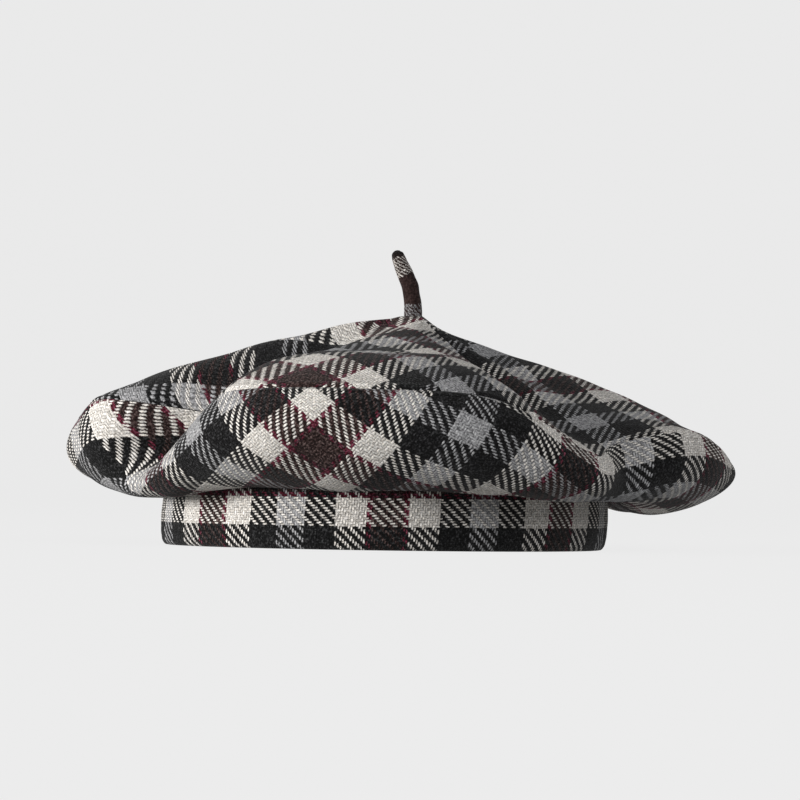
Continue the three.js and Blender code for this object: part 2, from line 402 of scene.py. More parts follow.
@dataclass(frozen=True)
class PlaidTwill:
    """Brushed wool in a two-and-two twill, with the same sett in warp and weft."""

    sett: tuple[Band, ...] = (
        Band(Yarn.RED, 2),
        Band(Yarn.BROWN, 12),
        Band(Yarn.RED, 2),
        Band(Yarn.WHITE, 12),
        Band(Yarn.BLACK, 12),
        Band(Yarn.GREY, 12),
        Band(Yarn.BLACK, 12),
        Band(Yarn.WHITE, 12),
    )
    relief: float = 0.00030  # height of a thread in metres
    relief_strength: float = 0.85
    fibre_relief: float = 0.55  # height of the fibres, as a share of the thread's
    roughness: float = 0.92
    sheen: float = 0.05
    sheen_roughness: float = 0.5
    specular: float = 0.12
    float_length: float = 2.0  # threads that a float passes over
    arch: float = 0.55  # share of a float's height that comes from its arch
    wander: float = 0.34  # how far a thread strays from its line, in threads
    wander_scale: float = 900.0  # noise cycles in a metre
    wander_detail: float = 1.0
    thread_shade: float = 0.20  # unevenness from thread to thread
    warp_number: float = 1000.5  # sets the warp's numbers apart from the weft's
    fibre_shade: float = 0.55  # unevenness along a thread
    fibre_scale: float = 1700.0
    fibre_range: tuple[float, float] = (0.25, 0.75)  # of the noise, from darkest to palest
    fine_detail: float = 3.0
    mottling: tuple[float, float] = (1.38, 0.62)  # powers of the colour in dark and in pale flecks
    mottle_scale: float = 1200.0
    mottle_range: tuple[float, float] = (0.38, 0.62)
    sinking: tuple[float, float] = (0.25, 0.75)  # heights between which a float rises clear
    painted_gap_shade: float = 0.55  # painted shade between threads
    gap_height: float = 0.75  # share of its full height from which a float is fully lit
    elsewhere: tuple[float, float, float] = (0.31, 0.17, 0.73)  # shift to a second, unlike noise

    def yarn_colour(self, sheet: NodeSheet, thread: Socket) -> Socket:
        """Colour of the thread with a given number.

        Args:
            sheet: The node tree.
            thread: Socket with the thread's whole number.

        Returns:
            Socket with the yarn's colour.
        """
        total = sum(band.threads for band in self.sett)
        place = sheet.math("WRAP", thread, float(total), 0.0)
        place = sheet.math("DIVIDE", sheet.math("ADD", place, 0.5), float(total))
        ramp = sheet.add("ShaderNodeValToRGB")
        ramp.color_ramp.interpolation = "CONSTANT"
        stops = ramp.color_ramp.elements
        start = 0
        for index, band in enumerate(self.sett):
            stop = stops[index] if index < len(stops) else stops.new(start / total)
            stop.position = start / total
            stop.color = (*band.yarn.value, 1.0)
            start += band.threads
        sheet.feed(ramp.inputs[0], place)
        return ramp.outputs[0]

    def strayed(self, sheet: NodeSheet, count: Socket, where: Socket) -> Socket:
        """Thread number of a point, with the threads straying from their lines.

        Args:
            sheet: The node tree.
            count: Socket with the thread number on the cloth's map.
            where: Socket with the place that the straying depends on.

        Returns:
            Socket with the strayed thread number.
        """
        noise = sheet.noise(where, self.wander_scale, self.wander_detail)
        shift = sheet.math("MULTIPLY_ADD", noise, 2 * self.wander, -self.wander)
        return sheet.math("ADD", count, shift)

    def float_height(self, sheet: NodeSheet, across: Socket, along: Socket) -> Socket:
        """Height of a float: round across the thread, and arched between the two threads that bind it.

        Formula: (1 - (2 across - 1)^2) times (1 - arch + arch sin(pi along / length)).

        Args:
            sheet: The node tree.
            across: Socket from 0 to 1 across the thread.
            along: Socket with the threads from the start of the float.

        Returns:
            Socket with the height, 0 to 1.
        """
        off = sheet.math("SUBTRACT", sheet.math("MULTIPLY", across, 2.0), 1.0)
        profile = sheet.math("SUBTRACT", 1.0, sheet.math("MULTIPLY", off, off))
        share = sheet.math("DIVIDE", along, self.float_length)
        arch = sheet.math("SINE", sheet.math("MULTIPLY", share, math.pi))
        return sheet.math("MULTIPLY", profile, sheet.math("MULTIPLY_ADD", arch, self.arch, 1 - self.arch))

    def shaded(
        self, sheet: NodeSheet, colour: Socket, thread: Socket, fibre: Socket, height: Socket
    ) -> Socket:
        """A float's colour with the unevenness of its thread and its fibres, and with painted shade between
        threads.

        Args:
            sheet: The node tree.
            colour: Socket with the float's colour.
            thread: Socket with a number that is the thread's own.
            fibre: Socket with the noise of the fibres.
            height: Socket with the float's height.

        Returns:
            Socket with the colour.
        """
        random = sheet.add("ShaderNodeTexWhiteNoise", noise_dimensions="1D")
        sheet.feed(random.inputs["W"], thread)
        chance = random.outputs["Value"]
        per_thread = sheet.math("MULTIPLY_ADD", chance, 2 * self.thread_shade, 1 - self.thread_shade)
        per_fibre = sheet.remap(fibre, *self.fibre_range, 1 - self.fibre_shade, 1 + self.fibre_shade)
        # painted shade: each float darker towards the gap between threads, where shade falls
        painted_gap = sheet.remap(height, 0.0, self.gap_height, 1 - self.painted_gap_shade, 1.0)
        tone_and_painted_shade = sheet.math("MULTIPLY", sheet.math("MULTIPLY", per_thread, per_fibre), painted_gap)
        tone_and_shade_grey = sheet.add("ShaderNodeCombineXYZ")
        for socket in tone_and_shade_grey.inputs:
            sheet.feed(socket, tone_and_painted_shade)
        return sheet.blend(1.0, colour, tone_and_shade_grey.outputs[0], Blend.MULTIPLY)

    def surface(self, sheet: NodeSheet, colour: Socket, height: Socket) -> None:
        """Adds the wool's skin and the output.

        Args:
            sheet: The node tree.
            colour: Socket with the colour.
            height: Socket with the height of threads and fibres.
        """
        bump = sheet.add("ShaderNodeBump")
        bump.inputs["Strength"].default_value = self.relief_strength
        bump.inputs["Distance"].default_value = self.relief
        sheet.feed(bump.inputs["Height"], height)
        skin = sheet.add("ShaderNodeBsdfPrincipled")
        sheet.feed(skin.inputs["Base Color"], colour)
        sheet.feed(skin.inputs["Normal"], bump.outputs[0])
        skin.inputs["Roughness"].default_value = self.roughness
        skin.inputs["Specular IOR Level"].default_value = self.specular
        skin.inputs["Sheen Weight"].default_value = self.sheen
        skin.inputs["Sheen Roughness"].default_value = self.sheen_roughness
        out = sheet.add("ShaderNodeOutputMaterial")
        sheet.feed(out.inputs["Surface"], skin.outputs[0])

    def build(self, name: str) -> bpy.types.Material:
        """Makes the material.

        Warp thread i runs along v and weft thread j along u. The warp lies on top where i + j, counted round
        four, is less than two, which draws the twill line. Each float takes its own thread's colour, and
        sinks into the darker of the two yarns at its edges.

        Args:
            name: Name of the material.

        Returns:
            The material.
        """
        sheet = NodeSheet(name)
        cloth = sheet.add("ShaderNodeUVMap", uv_map="cloth").outputs[0]
        solid = sheet.add("ShaderNodeTexCoord").outputs["Object"]
        split = sheet.add("ShaderNodeSeparateXYZ")
        sheet.feed(split.inputs[0], cloth)
        shifted = sheet.add("ShaderNodeMapping")
        shifted.inputs["Location"].default_value = self.elsewhere
        sheet.feed(shifted.inputs["Vector"], solid)
        second = shifted.outputs[0]
        u = self.strayed(sheet, split.outputs["X"], solid)
        v = self.strayed(sheet, split.outputs["Y"], second)
        warp, weft = sheet.math("FLOOR", u), sheet.math("FLOOR", v)

        repeat = 2 * self.float_length
        step = sheet.math("WRAP", sheet.math("ADD", warp, weft), repeat, 0.0)
        warp_on_top = sheet.math("LESS_THAN", step, self.float_length - 0.5)
        warp_along = sheet.math("WRAP", sheet.math("ADD", warp, v), repeat, 0.0)
        weft_along = sheet.math("WRAP", sheet.math("ADD", weft, u), repeat, 0.0)
        weft_along = sheet.math("SUBTRACT", weft_along, self.float_length)
        warp_height = self.float_height(sheet, sheet.math("FRACT", u), warp_along)
        weft_height = self.float_height(sheet, sheet.math("FRACT", v), weft_along)
        height = sheet.choose(warp_on_top, weft_height, warp_height)

        weft_colour, warp_colour = self.yarn_colour(sheet, weft), self.yarn_colour(sheet, warp)
        colour = sheet.blend(warp_on_top, weft_colour, warp_colour)
        darker = sheet.blend(1.0, weft_colour, warp_colour, Blend.DARKEN)
        colour = sheet.blend(sheet.remap(height, *self.sinking, 1.0, 0.0), colour, darker)
        number = sheet.math("MULTIPLY", warp_on_top, self.warp_number)
        thread = sheet.math("ADD", number, sheet.choose(warp_on_top, weft, warp))
        fibre = sheet.noise(solid, self.fibre_scale, self.fine_detail)
        mottle = sheet.add("ShaderNodeGamma")
        sheet.feed(mottle.inputs["Color"], self.shaded(sheet, colour, thread, fibre, height))
        flecks = sheet.noise(second, self.mottle_scale, self.fine_detail)
        sheet.feed(mottle.inputs["Gamma"], sheet.remap(flecks, *self.mottle_range, *self.mottling))

        bumped = sheet.math("ADD", height, sheet.math("MULTIPLY", fibre, self.fibre_relief))
        self.surface(sheet, mottle.outputs[0], bumped)
        return sheet.material


@dataclass(frozen=True)
class FeltedStrip(PlaidTwill):
    """The stalk's narrow strip of the same wool, finer and half felted, so that its threads run together."""

    sett: tuple[Band, ...] = (
        Band(Yarn.BROWN, 50),  # all the warp of the strip
        Band(Yarn.GREY, 24),  # then the weft, from the root to the tip
        Band(Yarn.BROWN, 27),
        Band(Yarn.WHITE, 18),
        Band(Yarn.BLACK, 21),
    )
    relief: float = 0.00012
    wander: float = 2.4
    sinking: tuple[float, float] = (0.0, 0.9)
    # softer painted shade between threads
    painted_gap_shade: float = 0.35
    mottling: tuple[float, float] = (1.2, 0.88)


@dataclass(frozen=True)
class ClothLay:
    """How a part was cut from the plaid: where one point of it lies in the sett, and how its grain turns."""

    centre_u: float  # thread numbers at the reference point
    centre_v: float
    warp_pitch: float  # millimetres from thread to thread
    weft_pitch: float
    turn: float  # degrees from the part's own across direction to the weft

    def threads(self, across: Array, up: Array) -> Array:
        """Thread numbers at places on the flat part.

        Formula: the place turned by the grain's angle, divided by the pitches, added to the reference point.

        Args:
            across: Millimetres across the part.
            up: Millimetres up the part.

        Returns:
            Thread numbers, last axis (u, v).
        """
        c, s = math.cos(math.radians(self.turn)), math.sin(math.radians(self.turn))
        u = self.centre_u + (across * c - up * s) / self.warp_pitch
        v = self.centre_v + (across * s + up * c) / self.weft_pitch
        return np.stack([u, v], axis=-1)


# The crown


class Section(NamedTuple):
    """One section of the crown. The seam columns place the rim seam.

    The top disc leaves the apex outwards by run and down by fall, and reaches the seam from back (inwards)
    and rise (upwards). The side panel leaves the seam outwards by out and down by drop, and reaches the hem
    from hem_out (outwards) and hem_drop (below).
    """

    azimuth: float
    seam_r: float
    seam_z: float
    run: float
    fall: float
    back: float
    rise: float
    out: float
    drop: float
    hem_out: float
    hem_drop: float


class Fold(NamedTuple):
    """A fold or dent, centred on azimuth and level, fading over its half widths.

    Its line turns by drift degrees over one level. It moves the cloth outwards by push and upwards by lift.
    """

    azimuth: float
    drift: float
    level: float
    half_azimuth: float
    half_level: float
    push: float
    lift: float


@dataclass
class CrownForm:
    """The crown's outer face as a function of azimuth and level."""

    apex: tuple[float, float] = (4.3, 92.8)  # x and z
    hole: float = 4.0  # radius of the hole that the stalk stands in
    collar_lift: float = 1.3  # of the cloth that is drawn up round the stalk
    collar_reach: float = 3.8
    band_x: float = -5.4
    hem_radius: float = 91.4
    hem_z: float = 24.0
    tilt: float = 0.0146  # rise of the crown for each millimetre to the right, above the level hem
    fade_at_apex: float = 3.0  # a fold dies out over the last part of the levels, one in so many
    fade_at_hem: float = 4.0
    probe: float = 1e-3  # of level, and of azimuth in radians, over which slopes are measured
    sections: tuple[Section, ...] = (
        #       azimuth  seam_r seam_z  run  fall  back  rise   out  drop  hem_out hem_drop
        Section(-180.0, 124.0, 55.0, 42.0, 6.0, 30.0, 20.0, 16.0, 16.0, 25.0, 5.0),
        Section(-135.0, 124.0, 50.0, 42.0, 6.0, 30.0, 20.0, 15.0, 21.0, 26.0, 9.0),
        Section(-92.0, 129.5, 52.5, 38.0, 10.5, 14.0, 17.5, 24.0, 25.0, 7.5, 4.0),
        Section(-70.0, 126.0, 60.0, 24.0, -2.0, 13.0, 8.0, 14.5, 25.0, 21.5, 13.5),
        Section(-52.0, 98.0, 55.5, 44.0, 11.0, 23.0, 16.0, 34.0, 16.0, 30.0, 14.0),
        Section(-33.0, 117.0, 62.0, 36.0, 14.0, 26.0, 20.0, 23.0, 14.0, 28.0, 3.5),
        Section(-5.0, 117.0, 62.0, 32.0, 14.0, 28.0, 24.0, 20.0, 14.0, 26.0, 8.0),
        Section(18.0, 117.5, 58.0, 32.0, 16.0, 26.0, 20.0, 20.0, 14.0, 32.0, 8.5),
        Section(39.0, 118.0, 38.5, 36.0, 20.0, 26.0, 16.0, 18.0, 12.0, 31.0, 12.5),
        Section(50.0, 110.5, 42.0, 40.0, 18.0, 30.0, 14.0, 20.0, 12.0, 30.0, 14.0),
        Section(67.0, 125.0, 46.5, 30.0, 22.0, 38.0, 9.0, 12.5, 20.0, 26.0, 14.0),
        Section(92.0, 132.0, 35.5, 12.0, 11.5, 32.0, 33.5, 20.0, 12.0, 8.0, 24.0),
        Section(135.0, 123.5, 44.5, 31.0, 15.0, 32.0, 22.0, 10.5, 21.5, 15.0, 15.0),
    )
    folds: tuple[Fold, ...] = (
        #    azimuth drift level half_azimuth half_level push lift
        Fold(-8, 0, -0.52, 26, 0.16, 0, -3.5),  # hollow behind the front bulge
        Fold(-50, -14, -0.45, 11, 0.35, 0, -5),  # left valley
        Fold(42, 0, -0.45, 9, 0.4, 0, -5),  # right valley
        Fold(-59, -12, 0.22, 6.5, 0.24, -20, -2),  # left dent
        Fold(50, 0, 0.25, 7, 0.25, -5, 0),  # right dent
        Fold(-22, 0, 0.45, 9, 0.3, 2, 0),  # front bulge, left half
        Fold(8, 0, 0.4, 9, 0.3, -1.5, 0),  # front bulge, right half
        Fold(-80, 0, 0.1, 6, 0.3, -1.5, -1),  # left lobe crease
        Fold(-155, 6, 0.1, 10, 0.35, -5, -3),  # back left ripple
        Fold(170, 0, -0.3, 14, 0.3, 0, -3),  # back hollow
        Fold(150, 0, 0.25, 9, 0.35, -4, -1),  # back right ripple
        Fold(112, 0, 0.1, 8, 0.3, -3, -1),  # right lobe crease
    )

    def columns(self, azimuth: Array) -> dict[str, Array]:
        """The section table's columns at any azimuth.

        Formula: between two rows a cubic curve that takes each row's slope from the rows on either side of
        it, and that closes on itself after a full turn.

        Args:
            azimuth: Azimuths in degrees, from -180 to 180.

        Returns:
            Each column's values, shape (azimuths, 1).
        """
        rows = np.array(self.sections)
        full_turn = np.zeros(rows.shape[1])
        full_turn[0] = 360
        rows = np.concatenate([rows[-2:] - full_turn, rows, rows[:3] + full_turn])
        angle = rows[:, 0]
        k = np.clip(np.searchsorted(angle, azimuth, side="right") - 1, 1, len(angle) - 3)
        span = (angle[k + 1] - angle[k])[:, None]
        t = (azimuth - angle[k])[:, None] / span
        start_slope = (rows[k + 1] - rows[k - 1]) / (angle[k + 1] - angle[k - 1])[:, None] * span
        end_slope = (rows[k + 2] - rows[k]) / (angle[k + 2] - angle[k])[:, None] * span
        value = sloped_cubic(rows[k], rows[k + 1], start_slope, end_slope, t)
        return {name: value[:, index : index + 1] for index, name in enumerate(Section._fields)}

    def points(self, azimuth: Array, level: Array) -> Array:
        """Points of the crown's outer face.

        Formula: in each section a cubic curve from the apex ring to the rim seam and another from the seam to
        the hem. Each fold adds its push and lift times exp(-(aside^2) - (along^2)), which dies out at both
        ends.

        Args:
            azimuth: Azimuths in degrees.
            level: Levels from -1 to 1.

        Returns:
            Points in millimetres, shape (azimuths, levels, 3).
        """
        get = self.columns(azimuth)
        dx, dy = np.sin(np.radians(azimuth))[:, None], -np.cos(np.radians(azimuth))[:, None]
        seam_x, seam_y, seam_z = get["seam_r"] * dx, get["seam_r"] * dy, get["seam_z"]
        t = np.clip(level + 1, 0, 1)[None]
        apex_x, apex_z = self.apex
        ax, ay = apex_x + self.hole * dx, self.hole * dy
        top_x = cubic(ax, ax + get["run"] * dx, seam_x - get["back"] * dx, seam_x, t)
        top_y = cubic(ay, ay + get["run"] * dy, seam_y - get["back"] * dy, seam_y, t)
        top_z = cubic(apex_z, apex_z - get["fall"], seam_z + get["rise"], seam_z, t)
        away = np.hypot(top_x - apex_x, top_y) - self.hole
        top_z = top_z + self.collar_lift * np.exp(-((away / self.collar_reach) ** 2))
        t = np.clip(level, 0, 1)[None]
        hx, hy = self.band_x + self.hem_radius * dx, self.hem_radius * dy
        side_x = cubic(seam_x, seam_x + get["out"] * dx, hx + get["hem_out"] * dx, hx, t)
        side_y = cubic(seam_y, seam_y + get["out"] * dy, hy + get["hem_out"] * dy, hy, t)
        side_z = cubic(seam_z, seam_z - get["drop"], self.hem_z - get["hem_drop"], self.hem_z, t)
        top = (level <= 0)[None]
        x, y, z = np.where(top, top_x, side_x), np.where(top, top_y, side_y), np.where(top, top_z, side_z)
        fade = np.clip((1 - level) * self.fade_at_hem, 0, 1) * np.clip((level + 1) * self.fade_at_apex, 0, 1)
        for fold in self.folds:
            middle = fold.azimuth + fold.drift * (level - fold.level)[None]
            aside = ((azimuth[:, None] - middle + 180) % 360 - 180) / fold.half_azimuth
            along = (level - fold.level)[None] / fold.half_level
            share = fade[None] * np.exp(-(aside**2) - along**2)
            x, y, z = x + share * fold.push * dx, y + share * fold.push * dy, z + share * fold.lift
        z = z + self.tilt * x * (1 - np.maximum(level, 0)[None] ** 3)
        return np.stack([x, y, z], axis=-1)

    def way_round(self, azimuth: Array, level: Array) -> Array:
        """Short steps of the outer face round the cap, towards growing azimuth.

        Args:
            azimuth: Azimuths in degrees.
            level: Levels from -1 to 1.

        Returns:
            Steps in millimetres, shape (azimuths, levels, 3).
        """
        turn = math.degrees(self.probe)
        return self.points(azimuth + turn, level) - self.points(azimuth - turn, level)

    def normals(self, azimuth: Array, level: Array, low: float, high: float) -> Array:
        """Unit normals of the outer face, measured inside one panel.

        Formula: the cross product of a short step down the face and a short step round it.

        Args:
            azimuth: Azimuths in degrees.
            level: Levels from -1 to 1.
            low: Level where the panel starts.
            high: Level where it ends.

        Returns:
            Normals, shape (azimuths, levels, 3).
        """
        below = self.points(azimuth, np.minimum(level + self.probe, high))
        above = self.points(azimuth, np.maximum(level - self.probe, low))
        return unit(np.cross(below - above, self.way_round(azimuth, level)))


class Ease(NamedTuple):
    """How the cut cloth was eased to shape: a wave of so many turns round the cap.

    The turn columns are degrees by which it turns the grain, and the length columns shares by which it
    lengthens the cloth's radius. Each has a part that follows the wave's sine and one that follows its
    cosine.
    """

    waves: int
    turn_sine: float
    turn_cosine: float
    length_sine: float
    length_cosine: float


def ease(azimuth: Array, waves: tuple[Ease, ...]) -> tuple[Array, Array]:
    """Turn of the grain and lengthening of the cloth at each azimuth: the sum of the waves.

    Args:
        azimuth: Azimuths in radians.
        waves: The waves.

    Returns:
        Turns in radians and factors of length, each of the azimuths' shape.
    """
    turn, length = np.zeros_like(azimuth), np.ones_like(azimuth)
    for wave in waves:
        sine, cosine = np.sin(wave.waves * azimuth), np.cos(wave.waves * azimuth)
        turn = turn + np.radians(wave.turn_sine * sine + wave.turn_cosine * cosine)
        length = length + wave.length_sine * sine + wave.length_cosine * cosine
    return turn, length


@dataclass
class Crown:
    """The crown: a top disc and a side panel of one thickness, sewn together at the rim."""

    form: CrownForm = field(default_factory=CrownForm)
    cloth: PlaidTwill = PlaidTwill()
    wall: float = 2.0
    lip_radius: float = 88.0
    sides: int = 480
    top_rings: int = 92
    top_length: float = 125.0  # rough length from the stalk to the rim seam
    side_rings: int = 72
    side_length: float = 70.0  # rough length from the rim seam to the hem
    # How far the closer rings lie from the rim seam
    close_rings: tuple[float, ...] = (0.35, 0.7, 1.1, 1.6, 2.1, 2.5, 2.8, 3.0, 3.2, 3.4, 3.7, 4.1)
    close_margin: float = 1.2  # the even rings start at so many times the last close one
    inner_share: int = 3  # one inner ring for this many outer rings
    seam_gap: float = 0.3
    gap_reach: float = 1.0  # from the seam, over which the panels draw apart
    seam_blend: float = 1.5  # from the seam, over which both panels turn to one shared normal
    groove_depth: float = 0.55
    groove_width: float = 1.1
    allowance_height: float = 0.32  # the seam allowance shows through the cloth
    allowance_width: float = 3.1
    allowance_edge: float = 0.22
    stitch_depth: float = 0.3  # of the line of stitches that holds the allowance down, on the side panel
    stitch_width: float = 0.25
    unevenness: Waves = Waves(0.30, 11, 16, 46)
    even_at_seam: float = 8.0  # from the seam, over which the unevenness sets in
    even_at_ends: float = 12.0  # it dies out over the last part of the levels, one in so many
    top_lay: ClothLay = ClothLay(-59.26, 103.21, 1.068, 0.927, 59.74)  # at the stalk
    top_ease: tuple[Ease, ...] = (
        Ease(0, 0.0, 0.0, 0.0, 0.028),
        Ease(1, -31.48, -2.6, -0.0318, 0.0209),
        Ease(2, 13.23, -1.74, 0.1221, -0.0486),
    )
    back_turn: float = -0.55  # further turn of the top's grain, for each degree from the back
    back_reach: float = 85.0  # degrees from the back over which it dies out
    centre_pull: tuple[float, float] = (-9.0, 0.0)  # threads by which the cloth is drawn aside at the stalk
    centre_reach: float = 22.0  # over which that dies out
    side_lay: ClothLay = ClothLay(8, 8, 1.079, 0.911, 34.23)  # in the middle of the front bulge
    side_radius: float = 304.4  # of the cut cloth at the seam
    side_height: float = 3.4  # how far the reference point lies below the rim seam
    side_spread: float = 0.404  # turn of the cut cloth for a turn of the cap
    side_turn: float = 6.05  # degrees
    side_ease: tuple[Ease, ...] = (
        Ease(1, -2.50, -1.23, 0.0377, 0.0550),
        Ease(2, 0.68, 0.26, -0.0227, 0.0274),
    )

    def levels(self, rings: int, low: float, high: float, length: float) -> Array:
        """Levels of a panel's rings: even, with closer ones beside the rim seam.

        Args:
            rings: Number of even steps.
            low: Level of the first ring.
            high: Level of the last ring.
            length: Rough length of the panel from seam to far edge in millimetres.

        Returns:
            The levels in rising order.
        """
        even = np.linspace(low, high, rings + 1)
        close = np.array(self.close_rings) / length
        near = -close if high == 0 else close
        return np.unique(np.concatenate([even[np.abs(even) > close[-1] * self.close_margin], [0.0], near]))

    def seam_frame(self, azimuth: Array) -> tuple[Array, Array]:
        """The shared normal of both panels at the rim seam, and the way across it from the top to the side.

        Args:
            azimuth: Azimuths in degrees.

        Returns:
            Normals and ways across, each of shape (azimuths, 3).
        """
        probe = self.form.probe
        above = self.form.normals(azimuth, np.array([-probe]), -1, 0)[:, 0]
        below = self.form.normals(azimuth, np.array([probe]), probe / 2, 1)[:, 0]
        normal = unit(above + below)
        way_round = self.form.way_round(azimuth, np.array([0.0]))[:, 0]
        return normal, unit(np.cross(way_round, normal))

    def panel(self, azimuth: Array, level: Array, low: float, high: float) -> tuple[Array, Array, Array]:
        """Outer and inner face of a panel, with its groove and seam allowance beside the rim.

        Formula: outer = smooth face + (allowance - groove + unevenness) along the normal, where the groove is
        exp(-(distance / width)^2) and the allowance is a rounded step as wide as the seam allowance. Inner =
        smooth face less the wall along the normal.

        Args:
            azimuth: Azimuths in degrees.
            level: Levels of the rings.
            low: Level of the panel's upper edge.
            high: Level of its lower edge.

        Returns:
            Outer points, inner points, and the length along each section from the rim seam.
        """
        is_top = high <= 0
        face = self.form.points(azimuth, level)
        normal = self.form.normals(azimuth, level, low, high)
        shared, across = self.seam_frame(azimuth)
        along = path_length(face)
        distance = np.abs(along - along[:, -1 if is_top else 0][:, None])
        nearness = np.exp(-((distance / self.seam_blend) ** 2))[..., None]
        normal = unit(normal * (1 - nearness) + shared[:, None] * nearness)
        way = across[:, None] * (-1 if is_top else 1) * self.seam_gap / 2
        face = face + way * np.exp(-distance / self.gap_reach)[..., None]
        groove = self.groove_depth * np.exp(-((distance / self.groove_width) ** 2))
        beyond = distance - self.allowance_width
        ridge = self.allowance_height / (1 + np.exp(beyond / self.allowance_edge))
        ridge = ridge - self.stitch_depth * np.exp(-((beyond / self.stitch_width) ** 2)) * (not is_top)
        fading = np.clip((1 - np.abs(level)) * self.even_at_ends, 0, 1)[None]
        rough = soft_waves(face, self.unevenness) * (np.clip(distance / self.even_at_seam, 0, 1) * fading)
        outer = face + normal * (ridge - groove + rough)[..., None]
        return outer, face - normal * self.wall, distance

    def build_top(self) -> bpy.types.Object:
        """The top disc: its outer face runs down to the seam and its inner face back up to the stalk.

        Formula of the cloth: it lies flat round the stalk, so that a point's place on it is its length from
        the stalk in the direction of its azimuth, eased, turned further at the back and drawn aside at the
        stalk.

        Returns:
            The piece.
        """
        azimuth = np.linspace(-180, 180, self.sides, endpoint=False)
        level = self.levels(self.top_rings, -1, 0, self.top_length)
        outer, inner, distance = self.panel(azimuth, level, -1, 0)
        inner[:, 0] = outer[:, 0] - np.array([0, 0, self.wall])
        length = distance[:, :1] - distance + self.form.hole
        turn = np.radians(azimuth)[:, None]
        eased, stretch = ease(turn, self.top_ease)
        behind = np.degrees(turn) % 360 - 180
        fading = (1 - np.clip(np.abs(behind) / self.back_reach, 0, 1) ** 2) ** 2
        pull = np.exp(-((length / self.centre_reach) ** 2))[..., None] * self.centre_pull
        length, turn = length * stretch, turn + eased + np.radians(self.back_turn * behind * fading)
        threads = self.top_lay.threads(length * np.sin(turn), -length * np.cos(turn)) + pull
        return self.close("crown_top_cloth", outer, inner, threads, threads[:1])

    def build_side(self) -> bpy.types.Object:
        """The side panel: it ends at the hem in a lip that turns in over the headband.

        Formula of the cloth: it lies flat as an arc with the seam as its outer edge, so that a point's place
        on it is its distance from the seam, taken off the arc's radius, at a share of its azimuth.

        Returns:
            The piece.
        """
        azimuth = np.linspace(-180, 180, self.sides, endpoint=False)
        level = self.levels(self.side_rings, 0, 1, self.side_length)
        outer, inner, distance = self.panel(azimuth, level, self.form.probe / 2, 1)
        turn = np.radians(azimuth)
        lip_x = self.form.band_x + self.lip_radius * np.sin(turn)
        lip_z = np.full_like(turn, self.form.hem_z)
        lip = np.stack([lip_x, -self.lip_radius * np.cos(turn), lip_z], axis=-1)[:, None]
        lip_above = lip + [0, 0, self.wall]
        outer = np.concatenate([outer, (outer[:, -1:] + lip) / 2, lip], axis=1)
        inner = np.concatenate([inner, (inner[:, -1:] + lip_above) / 2, lip_above], axis=1)
        lip_width = self.form.hem_radius - self.lip_radius
        last = distance[:, -1:]
        distance = np.concatenate([distance, last + lip_width / 2, last + lip_width], axis=1)
        turn = np.radians(np.append(azimuth, 180.0))[:, None]
        eased, stretch = ease(turn, self.side_ease)
        radius = self.side_radius * stretch - np.concatenate([distance, distance[:1]])
        turn = self.side_spread * turn + math.radians(self.side_turn) + eased
        reference = self.side_radius - self.side_height
        threads = self.side_lay.threads(radius * np.sin(turn), radius * np.cos(turn) - reference)
        return self.close("crown_side_cloth", outer, inner, threads[:-1], threads[-1:])

    def close(self, name: str, outer: Array, inner: Array, threads: Array, end: Array) -> bpy.types.Object:
        """Joins a panel's faces into one closed wall with rounded edges.

        Args:
            name: Name of the piece.
            outer: Outer points.
            inner: Inner points.
            threads: Thread numbers at the outer points.
            end: Thread numbers at the far side of the last strip.

        Returns:
            The piece.
        """
        keep = np.unique(np.append(np.arange(0, outer.shape[1], self.inner_share), outer.shape[1] - 1))
        low_edge = outer[:, -1:] * 0.5 + inner[:, -1:] * 0.5
        high_edge = outer[:, :1] * 0.5 + inner[:, :1] * 0.5
        points = np.concatenate([outer, low_edge, inner[:, keep[::-1]], high_edge], axis=1)
        threads = np.concatenate([threads, end])
        threads = np.concatenate([threads, threads[:, -1:], threads[:, keep[::-1]], threads[:, :1]], axis=1)
        return grid_object(name, points, threads, close_across=True)

    def dress(self) -> list[bpy.types.Object]:
        """Builds both panels, gives them the cloth and fits them in the frame.

        Returns:
            The top disc and the side panel.
        """
        material = self.cloth.build("plaid_wool_twill")
        top, side = self.build_top(), self.build_side()
        finish_piece(top, Part.TOP, material)
        finish_piece(side, Part.SIDE, material)
        return [top, side]


# Headband and stalk


class Station(NamedTuple):
    """A corner of the headband's outline: how far it lies from the band's axis, and its height."""

    radius: float
    height: float


